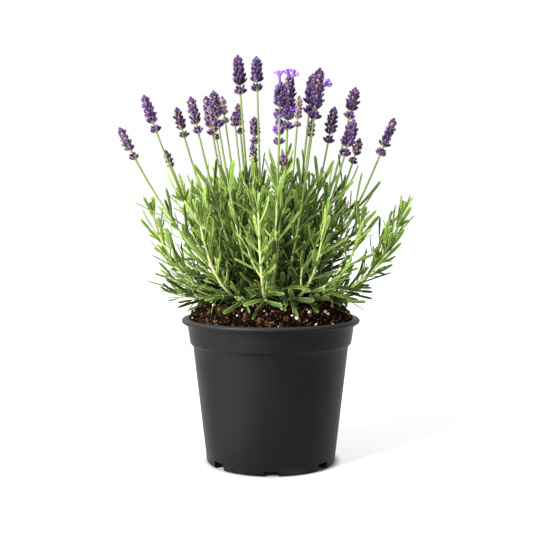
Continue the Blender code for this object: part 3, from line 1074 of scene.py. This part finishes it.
def leaf_top(line):
    """The height of a flowering shoot's last leaves. Outer shoots stop lower."""
    tip = line.points[-1]
    return 0.284 - 0.32 * math.hypot(tip[0], tip[1]) + rng.uniform(-12, 10) * MM


def node_places(end):
    """Where the leaf pairs sit: close together at the foot, wider apart above."""
    places = []
    along = rng.uniform(5, 10) * MM
    while along < end:
        places.append(along)
        along += (8.6 * MM + 0.056 * along) * rng.uniform(0.85, 1.15)
    return places


def grow_leaves(bm, line, end, to_tip):
    roll = rng.uniform(0, math.pi)
    count = 0
    # Each shoot's leaves get a random tone shift, plus painted shade the farther right the shoot
    # ends.
    shade = rng.uniform(-0.12, 0.12) - RIGHT_SIDE_PAINTED_SHADE * max(line.points[-1][0], 0)
    for i, along in enumerate(node_places(end)):
        part = along / end
        tone = 0.18 + 0.40 * part + shade
        length = (20 + 15 * math.sin(math.pi * (0.10 + part * 0.58))) * MM
        angle = 1.05 - 0.60 * part
        turn = roll + i * math.pi / 2 + rng.uniform(-0.2, 0.2)
        width = (2.7 + 1.1 * part) * MM
        lay_pair(bm, line, along, turn, length, angle, width, tone, 0.35 * part - 0.05)
        count += 2
        for side in (1, -1):
            chance = rng.random()
            if chance < 0.24 and part < 0.62:
                twig = rng.uniform(30, 62) * (1 - 0.3 * part) * MM
                count += lay_side_shoot(bm, line, along, turn, side, twig, tone + 0.1)
            elif chance < 0.54:
                count += lay_tuft(bm, line, along, turn, side, tone + 0.1)
    if to_tip:
        for back, size, spread in ((6, 24, 0.40), (3, 19, 0.26), (0.5, 12, 0.12)):
            roll += math.pi / 2
            at = line.length - back * MM
            lay_pair(bm, line, at, roll, size * MM, spread, 3.2 * MM, 0.48, 0.1)
            count += 2
    return count


def low_shoot_line(angle):
    """A short shoot from beside the crown that leans out, low over the soil."""
    out = Vector((math.cos(angle), math.sin(angle), 0))
    start = rng.uniform(24, 42) * MM
    foot = out * start + Vector((0, 0, soil_height(start) - MM))
    rise = rng.uniform(6, 14) * MM
    middle = foot + out * rng.uniform(12, 19) * MM + Vector((0, 0, rise))
    tip = middle + out * rng.uniform(9, 20) * MM + Vector((0, 0, rng.uniform(-8, 6) * MM))
    return GrowthLine(foot, middle, tip)


LOW_SHOOTS = 26


def grow_low_shoots(bm):
    count = 0
    for i in range(LOW_SHOOTS):
        line = low_shoot_line(math.tau * (i + rng.uniform(-0.3, 0.3)) / LOW_SHOOTS)
        turn = rng.uniform(0, math.pi)
        tone = rng.uniform(0.35, 0.7)
        draw_stem(bm, line, -4 * MM, line.length, LOW_WIDTHS, turn, rings=5)
        pairs = round(line.length / (6.5 * MM))
        for k in range(pairs):
            part = (k + 0.7) / pairs
            size = rng.uniform(17, 25) * MM
            at = line.length * min(part, 0.98)
            spread = 1.05 - 0.65 * part
            lay_pair(bm, line, at, turn + k * math.pi / 2, size, spread, 3.9 * MM, tone, -0.55)
            count += 2
    return count


OUTER_TIPS = (
    (110, -14, 208), (-100, 26, 208), (-92, -30, 164), (86, -42, 158),
    (52, 88, 214), (-40, 96, 206),
)


def grow_outer_shoots(bm):
    """Leafy shoots that fill the outline between the frame's own."""
    count = 0
    for tip in OUTER_TIPS:
        line = shoot_line(Vector(tip) * MM, LEAFY_LINE)
        draw_stem(bm, line, BURIED, line.length, OUTER_WIDTHS, rng.random())
        count += grow_leaves(bm, line, line.length - 8 * MM, True)
    return count


leaf_total = 0
for name, grow in (("low_shoots", grow_low_shoots), ("outer_shoots", grow_outer_shoots)):
    bm = growth_bmesh()
    leaf_total += grow(bm)
    add_piece(name, bm, greens, smooth_angle=60)
for node, line in leafy_lines.items():
    bm = growth_bmesh()
    draw_stem(bm, line, BURIED, line.length, STEM_WIDTHS, rng.random())
    leaf_total += grow_leaves(bm, line, line.length - 9 * MM, True)
    add_piece(node.replace("leafy", "leaf"), bm, greens, [node], 60)
for node, line in flower_lines.items():
    bm = growth_bmesh()
    foot = head_feet[node]
    stalk_end = line.length - (Vector(line.points[-1]) - foot).length
    draw_stem(bm, line, BURIED, stalk_end, STEM_WIDTHS, rng.random())
    leaf_total += grow_leaves(bm, line, line.at_height(leaf_top(line)), False)
    add_piece(node.replace("flowering_", "bloom_"), bm, greens, [node], 60)
print("leaves", leaf_total)

# %% [markdown]
# ## Flower heads
#
# A head is a stack of whorls: rings of small ribbed cups, the calyces, each with a bud in it.
# The lowest whorl often stands apart. A cup is a circle of eight corners drawn out ring by
# ring, with every second corner pulled in for the ribs. The buds' violet is darkest in the
# middle and paler at the lip. Their feet are cream on some; on others they are nearly black,
# as painted shade between the buds.

# %% Bud and bract shapes
CALYX_SIDES = 8
CALYX_OUTLINE = (
    (0.00, 0.30),
    (0.12, 0.62),
    (0.38, 0.95),
    (0.66, 1.00),
    (0.82, 0.84),
    (0.93, 0.62),
    (1.00, 0.26),
)


def calyx_sprig():
    """A unit bud: 1 long in X and 1 wide, ribbed, with a rounded end."""
    bm = growth_bmesh()
    layer = bm.verts.layers.float_color["growth"]
    rings = []
    for (along, width), cap in rod_rings(bm, CALYX_SIDES, CALYX_OUTLINE):
        rings.append(cap.verts[:])
        for i, vert in enumerate(cap.verts):
            rib = 1.0 if i % 2 else 0.84
            angle = math.tau * i / CALYX_SIDES
            radius = 0.5 * width * rib
            vert.co = (along, radius * math.cos(angle), radius * math.sin(angle))
            vert[layer] = (0, along, i % 2, 1)
    bm.faces.new(rings[0])
    return Sprig(bm)


calyx = calyx_sprig()


def lay_calyx(bm, base, aim, length, width, tone):
    """Adds a bud that points along aim."""
    side = aim.orthogonal().normalized()
    turn = Matrix.Rotation(rng.uniform(0, math.tau), 3, aim)
    side = turn @ side
    axes = np.array([aim * length, side * width, aim.cross(side) * width])
    calyx.lay(bm, calyx.points @ axes + np.array(base), tone)


# %% Flower finishes
def calyx_finish(name, violet, foot_reach):
    """A bud: a cream foot on some and one in painted shade on others, a dark violet body, and a
    paler, furry lip.
    """
    finish = Finish(name)
    tone, along, rib = growth_wires(finish)
    mottle = finish.noise(500, 2)
    dark, middle, light = violet
    body = finish.ramp(
        tone * 0.8 + mottle * 0.3 - 0.05,
        [(0.05, dark), (0.55, middle), (1.00, light)],
    )
    colour = finish.mix(rib * 0.15, body, (0.150, 0.080, 0.210))
    lip = along.between(0.74, 1.0)
    colour = finish.mix(lip * (0.25 + tone * 0.6), colour, (0.205, 0.108, 0.320))
    foot = 1 - along.between(0.12, foot_reach)
    # Painted shade between the buds: feet of low tone are drawn nearly black, and the others
    # keep the calyx's own cream.
    cream = tone.between(0.25, 0.60)
    foot_cream_and_shade = finish.mix(cream, (0.020, 0.012, 0.020), (0.330, 0.300, 0.140))
    colour = finish.mix(foot * 0.9, colour, foot_cream_and_shade)
    normal = finish.bump(mottle, 0.4, 0.2 * MM)
    finish.surface(Base_Color=colour, Roughness=0.75, Normal=normal)
    finish.surface(Sheen_Weight=0.05, Sheen_Roughness=0.4, Specular_IOR_Level=0.15)
    finish.surface(Sheen_Tint=(0.75, 0.6, 1.0, 1.0))
    return finish


def bract_finish():
    finish = Finish("dry_bract")
    tone, along, _ = growth_wires(finish)
    colour = finish.ramp(
        tone * 0.6 + along * 0.4,
        [
            (0.1, (0.220, 0.230, 0.084)),
            (0.6, (0.280, 0.200, 0.110)),
            (1.0, (0.180, 0.100, 0.100)),
        ],
    )
    finish.surface(Base_Color=colour, Roughness=0.8)
    return finish


RIPE_VIOLET = ((0.0042, 0.0017, 0.0072), (0.027, 0.0112, 0.046), (0.145, 0.078, 0.205))
YOUNG_VIOLET = ((0.055, 0.042, 0.070), (0.110, 0.082, 0.140), (0.210, 0.155, 0.270))
bud_violet = calyx_finish("lavender_bud", RIPE_VIOLET, 0.60)
bud_young = calyx_finish("young_bud", YOUNG_VIOLET, 0.80)
bract_brown = bract_finish()

# %% [markdown]
# ## Open florets
#
# A few flowers are open: a pale violet tube that ends in five rounded lobes. On the real
# flower the two lobes above are larger than the three below; here the five are drawn alike.
# The tube is extruded, and every second side of its mouth is then drawn out again into a
# lobe, so the whole floret stays one closed shape.

# %% Floret shape
FLORET_SIDES = 10
FLORET_OUTLINE = ((0.0, 0.11), (0.45, 0.13), (0.70, 0.21), (0.80, 0.27))
LOBE_OUTLINE = ((0.15, 0.21), (0.28, 0.17))


def sides_of(cap):
    """The faces round a cap, one for each of its edges."""
    return [next(face for face in edge.link_faces if face is not cap) for edge in cap.edges]


def floret_sprig():
    """A unit floret: its tube runs along X, and its lobes spread at the mouth."""
    bm = growth_bmesh()
    layer = bm.verts.layers.float_color["growth"]
    rings = []
    for (along, radius), cap in rod_rings(bm, FLORET_SIDES, FLORET_OUTLINE):
        rings.append(cap.verts[:])
        for i, vert in enumerate(cap.verts):
            angle = math.tau * i / FLORET_SIDES
            vert.co = (along, radius * math.cos(angle), radius * math.sin(angle))
            vert[layer] = (0, along * 0.5, 0, 1)
    for lobe in sides_of(cap)[::2]:
        middle = lobe.calc_center_median()
        out = Vector((0, middle.y, middle.z)).normalized()
        for reach, wide in LOBE_OUTLINE:
            lobe = extruded(bm, lobe)
            centre = Vector((0.86 + 0.5 * reach, 0, 0)) + out * (0.20 + reach)
            across = Vector((1, 0, 0)).cross(out)
            middle = lobe.calc_center_median()
            for vert in lobe.verts:
                offset = vert.co - middle
                side_way = math.copysign(wide, offset.dot(across))
                thick = math.copysign(0.02, offset.x)
                vert[layer] = (0, 0.5 + reach, 1, 1)
                vert.co = centre + across * side_way + Vector((thick, 0, 0))
    bmesh.ops.inset_individual(bm, faces=[cap], thickness=0.06)
    bmesh.ops.translate(bm, vec=(-0.15, 0, 0), verts=cap.verts[:])
    bm.faces.new(rings[0])
    return Sprig(bm, 3)


def floret_finish():
    finish = Finish("open_floret")
    tone, along, _ = growth_wires(finish)
    vein = finish.noise(900, 2)
    colour = finish.ramp(
        along * 0.8 + vein * 0.25,
        [
            (0.10, (0.100, 0.038, 0.230)),
            (0.45, (0.190, 0.080, 0.430)),
            (0.85, (0.300, 0.145, 0.600)),
        ],
    )
    colour = finish.mix(tone * 0.35, colour, (0.250, 0.120, 0.520))
    finish.surface(Base_Color=colour, Roughness=0.6, Specular_IOR_Level=0.2)
    finish.surface(Subsurface_Weight=0.2, Subsurface_Radius=(0.8, 0.4, 1.0))
    finish.surface(Subsurface_Scale=1.0 * MM)
    return finish


floret = floret_sprig()
floret_violet = floret_finish()
ripe_head = [bud_violet, stem_green, bract_brown, floret_violet]
young_head = [bud_young, stem_green, bract_brown, floret_violet]
print("bud faces", len(calyx.mesh.polygons), "floret faces", len(floret.mesh.polygons))

# %% [markdown]
# ## Build the heads
#
# The whorls are set along the last stretch of each shoot's line. Buds in the lower whorls
# lean out, those at the top stand nearly upright, and a second ring of smaller buds fills
# each whorl. The fuller heads in front carry more buds than the thin ones.

# %% Grow a head
WHORL_STEP = 4.4 * MM
BUD_LENGTH = 7.6 * MM
BUD_WIDTH = 3.0 * MM
BUD_STAND_OFF = 1.5 * MM
BRACT_LENGTH = 5.4 * MM
BRACT_WIDTH = 2.6 * MM
BRACTS = 5
HEAD_STEM_WIDTHS = (1.7 * MM, 1.0 * MM)
bract = leaf_sprig(2)


def whorl_places(start, end):
    """Where the whorls sit: the lowest one apart, and the others close together."""
    lowest = start + 0.5 * MM
    first = lowest + WHORL_STEP * (2.0 if end - start > 24 * MM else 1.0)
    last = end - 9.0 * MM
    count = max(1, round((last - first) / WHORL_STEP))
    return [lowest] + [first + (last - first) * i / count for i in range(count + 1)]


def lay_whorl(bm, line, along, number, lean, size, tone, upper, stand_off=BUD_STAND_OFF):
    """One ring of buds round the stem, each with its own turn, lean, size and tone."""
    end = line.length
    turn = rng.uniform(0, math.tau)
    for k in range(number):
        place = along + rng.uniform(-0.6, 0.6) * MM
        angle = turn + math.tau * (k + rng.uniform(-0.2, 0.2)) / number
        aim, out = line.around(min(place, end - MM), angle)
        own_lean = lean * rng.uniform(0.72, 1.24)
        direction = (aim * math.cos(own_lean) + out * math.sin(own_lean)).normalized()
        base = line.point(place) + out * stand_off * size
        length = BUD_LENGTH * size * rng.uniform(0.84, 1.16)
        room = end - place - stand_off * size
        length = min(length, room / (math.cos(own_lean) + math.sin(own_lean)))
        width = BUD_WIDTH * (0.45 + 0.55 * size) * rng.uniform(0.92, 1.10)
        own_tone = min(max(tone + upper + rng.uniform(-0.45, 0.45), 0), 1)
        lay_calyx(bm, base, direction, length, width, own_tone)


def lay_bracts(bm, line, along):
    """Small dry scales below a whorl."""
    turn = rng.uniform(0, math.tau)
    for k in range(BRACTS):
        aim, out = line.around(along, turn + math.tau * k / BRACTS)
        direction = (aim * 0.55 + out).normalized()
        inward = (aim - out * 0.55).normalized()
        base = line.point(along) + out * 0.6 * MM
        sizes = (BRACT_LENGTH, BRACT_WIDTH)
        lay_leaf(bm, base, direction, inward, *sizes, 0.7, rng.random(), bract)


def grow_head(bm, line, start, width):
    """A head of whorls from a start to the line's end. Three small ones close its top."""
    end = line.length
    draw_stem(bm, line, start - 1.5 * MM, end - 3 * MM, HEAD_STEM_WIDTHS, 0.4, rings=6)
    tone = rng.uniform(0.22, 0.46)
    size = width / WIDEST_HEAD
    for along in whorl_places(start, end):
        part = (along - start) / (end - start)
        swell = size * (0.86 + 0.14 * math.sin(math.pi * part)) * (1 - 0.16 * part**3)
        outer = round((5 + 4.5 * size) * (1 - 0.30 * part**2))
        lean = 0.84 - 0.46 * part**1.6
        lay_bracts(bm, line, along - 0.5 * MM)
        lay_whorl(bm, line, along, outer, lean, swell, tone, 0.0)
        upper = along + 1.7 * MM
        lay_whorl(bm, line, upper, max(3, outer - 2), lean * 0.55, swell * 0.92, tone, 0.12)
    closing = (
        (7.6, 4, 0.30, 0.80 * size + 0.1, 1.0),
        (5.4, 3, 0.12, 0.72, 0.3),
        (4.8, 1, 0.02, 0.80, 0.0),
    )
    for back, number, lean, share, stand_off in closing:
        lay_whorl(bm, line, end - back * MM, number, lean, share, tone, 0.2, stand_off * MM)


WIDEST_HEAD = 15.5 * MM
HEAD_WIDTHS = (
    11.0, 13.5, 9.5, 12.0, 12.5, 13.0, 13.0, 9.5, 11.0, 15.5, 14.5, 13.5,
    15.0, 15.0, 13.5, 9.5, 15.0, 15.0, 10.0, 13.3, 15.0, 14.5, 11.0, 12.5,
)
YOUNG_HEADS = {"08", "16"}
for head_node, (node, line), width in zip(head_nodes, flower_lines.items(), HEAD_WIDTHS):
    bm = growth_bmesh()
    number = node[-2:]
    start = line.length - (Vector(line.points[-1]) - head_feet[node]).length
    grow_head(bm, line, start, width * MM)
    finishes = young_head if number in YOUNG_HEADS else ripe_head
    add_piece(f"flower_spike_{number}", bm, finishes, [head_node], 50)
print("heads", len(head_nodes))

# %% [markdown]
# ## Late spikes and open florets
#
# Four small spikes are still growing up between the big ones. Their shoots follow the same
# rule as the others. A few florets are open on the fullest heads, each one drawn from the
# head's middle outwards.

# %% Late spikes
LATE_WIDTHS = (2.2 * MM, 1.5 * MM)
LATE_HEAD_WIDTH = 9.5 * MM
# The tip of each late spike and the length of its head, in millimetres.
LATE_TIPS = {(-59, 28, 347): 39, (-36.5, 40, 338): 15, (-17, -30, 302): 18, (11, -50, 292): 12}
for number, (tip, head_length) in enumerate(LATE_TIPS.items(), 1):
    line = shoot_line(Vector([side * MM for side in tip]), FLOWERING_LINE)
    start = line.length - head_length * MM
    bm = growth_bmesh()
    draw_stem(bm, line, BURIED, start, LATE_WIDTHS, rng.random())
    leaf_end = min(line.at_height(leaf_top(line)), start - 12 * MM)
    leaf_total += grow_leaves(bm, line, leaf_end, False)
    add_piece(f"late_shoot_{number}", bm, greens, smooth_angle=60)
    bm = growth_bmesh()
    grow_head(bm, line, start, LATE_HEAD_WIDTH)
    add_piece(f"late_spike_{number}", bm, ripe_head, smooth_angle=50)
print("leaves with the late shoots", leaf_total)

# %% Open florets
FLORET_SIZE = 9 * MM
OPEN_FLORETS = {
    "flowering_shoot_13": [(6.8, -79, 358)],
    "flowering_shoot_14": [(14.8, -42, 364.5), (20.8, -48, 362.0), (19.3, -44, 331.5)],
    "flowering_shoot_15": [(7.1, -22, 324.8), (5.6, -24, 314.6)],
    "flowering_shoot_18": [(50.0, -50, 353.3)],
}


def lay_floret(bm, line, spot):
    """A floret whose mouth is at a spot, drawn out of the nearest place on the head."""
    away = np.linalg.norm(line.points - np.array(spot), axis=1)
    nearest = float(line.lengths[away.argmin()])
    aim = (spot - line.point(max(nearest - 7 * MM, 0))).normalized()
    side = Matrix.Rotation(rng.uniform(0, math.tau), 3, aim) @ aim.orthogonal().normalized()
    axes = np.array([aim, side, aim.cross(side)]) * FLORET_SIZE
    base = np.array(spot - aim * FLORET_SIZE * 0.8)
    floret.lay(bm, floret.points @ axes + base, rng.random())


bm = growth_bmesh()
for node, spots in OPEN_FLORETS.items():
    for spot in spots:
        lay_floret(bm, flower_lines[node], Vector(spot) * MM)
add_piece("open_florets", bm, ripe_head, smooth_angle=50)

# %% [markdown]
# ## Crown
#
# The crown is the old, woody foot of the plant. It shows only as a knotty stump between the
# stems, so a turned stump with pulled-out stubs and a rough surface is enough.

# %% Crown
# How high each ring of the stump is, as a part of its height, and its radius in millimetres.
CROWN_OUTLINE = ((0.0, 4.6), (0.4, 6.6), (0.68, 7.4), (0.78, 8.4), (0.88, 7.6))


def crown_finish():
    finish = Finish("crown_bark")
    bark = finish.noise(500, 5, finish.squeezed(finish.place(), 0.3))
    colour = finish.ramp(
        bark,
        [
            (0.30, (0.050, 0.032, 0.020)),
            (0.55, (0.170, 0.120, 0.075)),
            (0.80, (0.330, 0.260, 0.170)),
        ],
    )
    normal = finish.bump(bark, 1.0, 0.6 * MM)
    finish.surface(Base_Color=colour, Roughness=0.9, Normal=normal)
    return finish


def crown_bmesh():
    """A stump drawn out of a circle, with stubs drawn out of every third side."""
    low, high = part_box("crown")
    bm = bmesh.new()
    rings = []
    for (part, radius), cap in rod_rings(bm, 12, CROWN_OUTLINE):
        rings.append(cap.verts[:])
        for vert in cap.verts:
            out = Vector((vert.co.x, vert.co.y, 0)).normalized() * radius * MM
            vert.co = (out.x, out.y, low.z + (high.z - low.z) * part)
    for side in sides_of(cap)[::3]:
        out = side.calc_center_median()
        out.z = 0
        out.normalize()
        stub = extruded(bm, side)
        pull = out * 1.8 * MM + Vector((0, 0, 3.0 * MM))
        bmesh.ops.translate(bm, vec=pull, verts=stub.verts[:])
    bm.faces.new(rings[0])
    bmesh.ops.recalc_face_normals(bm, faces=bm.faces[:])
    bmesh.ops.subdivide_edges(bm, edges=bm.edges[:], cuts=2, use_grid_fill=True, smooth=0.6)
    for vert in bm.verts:
        vert.co += noise.noise_vector(vert.co * 260) * 0.7 * MM
    return bm


crown = add_piece("woody_crown", crown_bmesh(), [crown_finish()], ["crown"], 180)
print("crown faces", len(crown.data.polygons))

# %% [markdown]
# ## Floor and light
#
# A pale floor and a white surround give the soft light of a studio. The surround is bright
# only low down, so the sides of the plant are lit and its inside stays dark. The floor
# glows a little, which keeps its shadow pale, but not under the pot, where the contact
# shadow is. A brighter pool on it at the front left gives the black plastic something to
# mirror, and so its gentle shine from left to right. The main lamp stands at the front
# left and above, a low strip lamp beside it, and a weak wide one overhead.

# %% Studio
bpy.context.scene.view_settings.view_transform = "Standard"

floor_finish = Finish("floor_white")
across_floor, along_floor, _ = floor_finish.axes(floor_finish.place())
from_pot = across_floor * across_floor + along_floor * along_floor
lamp_pool = across_floor.between(-0.02, -0.13) * along_floor.between(0.0, -0.11)
side_glow = floor_finish.mix(lamp_pool, (0.24, 0.24, 0.24), (1.0, 1.0, 1.0))
glow = floor_finish.mix(from_pot.between(0.059**2, 0.070**2), (0, 0, 0), side_glow)
floor_finish.surface(Base_Color=(0.36, 0.36, 0.36, 1.0), Roughness=0.9)
floor_finish.surface(Emission_Color=glow, Emission_Strength=3.0)
floor_finish.surface(Specular_IOR_Level=0.0)
floor_bm = bmesh.new()
bmesh.ops.create_circle(floor_bm, cap_ends=True, radius=12.0, segments=64)
floor_mesh = mesh_from("studio_floor", floor_bm)
floor_mesh.materials.append(floor_finish.material)
floor = link_object("studio_floor", floor_mesh)

world = bpy.data.worlds.new("studio_world")
world.use_nodes = True
sky = NodeTree(world.node_tree)
direction = sky.node("ShaderNodeTexCoord", out="Generated")
_, _, rise = sky.axes(direction)
surround = sky.tree.nodes["Background"]
surround.inputs["Color"].default_value = (1.0, 1.0, 1.0, 1.0)
sky.plug(surround, "Strength", 1.0 - rise.between(0.36, 0.58) * 0.82)
bpy.context.scene.world = world


def add_sun(name, towards, strength, spread):
    """A far lamp. A wide spread makes its light as soft as a large studio panel's."""
    sun_data = bpy.data.lights.new(name, "SUN")
    sun_data.energy = strength
    sun_data.angle = math.radians(spread)
    sun = link_object(name, sun_data)
    sun.rotation_euler = Vector(towards).to_track_quat("Z", "Y").to_euler()


add_sun("key_lamp", (-0.82, -0.76, 0.76), 7.7, 20)
add_sun("strip_lamp", (-0.84, -0.58, 0.08), 3.4, 26)
add_sun("top_lamp", (0.10, 0.20, 1.00), 1.2, 60)
